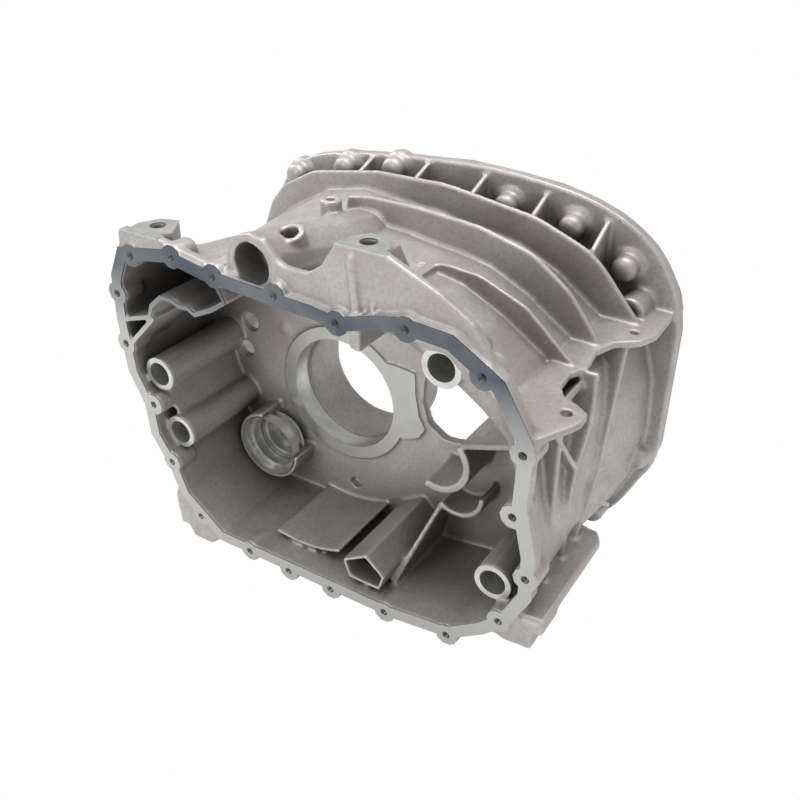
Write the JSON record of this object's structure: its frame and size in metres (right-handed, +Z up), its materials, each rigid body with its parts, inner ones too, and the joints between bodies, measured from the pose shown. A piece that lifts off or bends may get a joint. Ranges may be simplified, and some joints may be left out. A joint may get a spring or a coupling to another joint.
{
  "type": "gearbox housing",
  "caption": "Cast aluminium gearbox housing with a gasket flange in front, a ribbed bell with a wide engine flange behind, and a machined main bore in the wall between them.",
  "frame": {"origin": "centre of the main bore on its machined ring face", "axes": "-Y out of the main bore towards the gearbox side, +Y towards the engine side, +Z up, +X to the right seen from the gearbox side"},
  "size_m": [0.57, 0.318, 0.487],
  "materials": {
    "cast_aluminium": "as-cast, with machined faces and bores"
  },
  "bodies": {
    "root": {"gearbox_housing": "cast_aluminium"}
  },
  "joints": []
}
